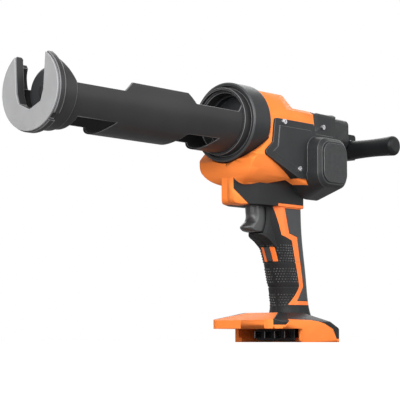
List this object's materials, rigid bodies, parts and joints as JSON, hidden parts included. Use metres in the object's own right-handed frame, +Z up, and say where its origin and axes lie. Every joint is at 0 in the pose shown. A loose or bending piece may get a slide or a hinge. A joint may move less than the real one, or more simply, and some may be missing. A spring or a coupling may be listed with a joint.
{
  "type": "cordless caulking tool",
  "caption": "Pistol-grip cordless caulking tool with a half-tube cartridge carrier, a rack rod driven by a side motor, and a slide-on battery foot without its battery.",
  "frame": {"origin": "middle of the heel's flat underside, on the floor under the rear of the battery foot", "axes": "+X runs back along the barrel, away from the nose; +Z is up; -Y is the side with the motor"},
  "size_m": [0.4128, 0.101, 0.2297],
  "materials": {
    "shell_orange": "satin moulded plastic",
    "accent_orange": "satin moulded plastic",
    "cover_black": "fine-grained moulded plastic",
    "badge_black": "smooth, bare",
    "grip_rubber": "pebbled soft overmould",
    "carrier_black": "satin black coating",
    "nose_grey": "turned face",
    "boss_grey": "dark cast",
    "bush_plastic": "sliding plastic",
    "steel": "bright",
    "gear_steel": "machined",
    "plunger_grey": "moulded",
    "board_green": "solder mask",
    "contact_brass": "plated"
  },
  "bodies": {
    "body": {"housing_left": "shell_orange", "housing_right": "shell_orange", "motor_cover": "cover_black", "side_cover_right": "cover_black", "motor_badge": "badge_black", "rear_cover": "cover_black", "rear_rod_bush": "bush_plastic", "front_rod_bush": "bush_plastic", "front_boss": "boss_grey", "grip_left": "grip_rubber", "grip_right": "grip_rubber", "accent_stripe_left": "accent_orange", "accent_stripe_right": "accent_orange", "back_strap_left": "grip_rubber", "back_strap_right": "grip_rubber", "grip_inlay": "accent_orange", "inlay_bar": "grip_rubber", "foot_bumper": "grip_rubber", "trigger_switch": "cover_black", "control_board": "board_green", "terminal_block": "cover_black", "battery_contacts": "contact_brass", "ring_gear": "gear_steel", "gear_plate": "gear_steel", "bearing_post": "steel", "motor_can": "steel", "lever_pin": "steel", "housing_screws": "steel", "cover_screws_left": "steel", "cover_screws_right": "steel"},
    "carrier": {"carrier_tube": "carrier_black", "nose_ring": "carrier_black", "nose_face": "nose_grey", "carrier_ring": "carrier_black"},
    "collar": {"lock_collar": "cover_black"},
    "rod": {"push_rod": "steel", "plunger": "plunger_grey", "plunger_screw": "steel", "pull_handle": "cover_black", "pull_handle_pin": "steel"},
    "drive_shaft": {"rack_pinion": "gear_steel", "pinion_shaft": "steel", "spur_gear": "gear_steel"},
    "planet_frame": {"planet_carrier": "gear_steel", "output_pinion": "gear_steel"},
    "planet_one": {"planet_gear_1": "gear_steel"},
    "planet_two": {"planet_gear_2": "gear_steel"},
    "planet_three": {"planet_gear_3": "gear_steel"},
    "rotor": {"motor_rotor": "steel", "sun_gear": "gear_steel"},
    "trigger": {"trigger": "cover_black"},
    "dial": {"speed_dial": "cover_black"},
    "lever": {"release_lever": "cover_black"}
  },
  "joints": [
    {"name": "rod_slide", "type": "slide", "parent": "body", "child": "rod", "axis": [1, 0, 0], "range_m": [0, 0.185]},
    {"name": "carrier_spin", "type": "hinge", "parent": "body", "child": "carrier", "pos_m": [-0.1115, 0, 0.194], "axis": [1, 0, 0], "continuous": true},
    {"name": "collar_twist", "type": "hinge", "parent": "body", "child": "collar", "pos_m": [-0.0995, 0, 0.194], "axis": [1, 0, 0], "range_deg": [0, 60]},
    {"name": "pinion_spin", "type": "hinge", "parent": "body", "child": "drive_shaft", "pos_m": [-0.01625, 0, 0.1796], "axis": [0, 1, 0], "range_deg": [0, 1012]},
    {"name": "planet_frame_spin", "type": "hinge", "parent": "body", "child": "planet_frame", "pos_m": [-0.01625, 0, 0.162], "axis": [0, 1, 0], "range_deg": [-2694, 0]},
    {"name": "rotor_spin", "type": "hinge", "parent": "body", "child": "rotor", "pos_m": [-0.01625, 0, 0.162], "axis": [0, 1, 0], "range_deg": [-12116, 0]},
    {"name": "planet_one_spin", "type": "hinge", "parent": "planet_frame", "child": "planet_one", "pos_m": [-0.01625, 0, 0.17213], "axis": [0, 1, 0], "range_deg": [0, 7540]},
    {"name": "planet_two_spin", "type": "hinge", "parent": "planet_frame", "child": "planet_two", "pos_m": [-0.02502, 0, 0.15694], "axis": [0, 1, 0], "range_deg": [0, 7540]},
    {"name": "planet_three_spin", "type": "hinge", "parent": "planet_frame", "child": "planet_three", "pos_m": [-0.00748, 0, 0.15694], "axis": [0, 1, 0], "range_deg": [0, 7540]},
    {"name": "trigger_pull", "type": "slide", "parent": "body", "child": "trigger", "axis": [1, 0, 0], "range_m": [0, 0.006], "stiffness_N_per_m": 600, "springref_m": -0.006},
    {"name": "dial_turn", "type": "hinge", "parent": "body", "child": "dial", "pos_m": [0.04, 0, 0.2138], "axis": [0, 0, 1], "range_deg": [0, 250]},
    {"name": "lever_lift", "type": "hinge", "parent": "body", "child": "lever", "pos_m": [0.048, 0, 0.2076], "axis": [0, -1, 0], "range_deg": [0, 14], "stiffness_Nm_per_rad": 0.3, "springref_deg": -17.19}
  ],
  "couplings": [
    {"joint": "pinion_spin", "follows": "rod_slide", "rad_per_m": 95.238},
    {"joint": "planet_frame_spin", "follows": "rod_slide", "rad_per_m": -253.97},
    {"joint": "rotor_spin", "follows": "rod_slide", "rad_per_m": -1142.9},
    {"joint": "planet_one_spin", "follows": "rod_slide", "rad_per_m": 711.11},
    {"joint": "planet_two_spin", "follows": "rod_slide", "rad_per_m": 711.11},
    {"joint": "planet_three_spin", "follows": "rod_slide", "rad_per_m": 711.11}
  ]
}
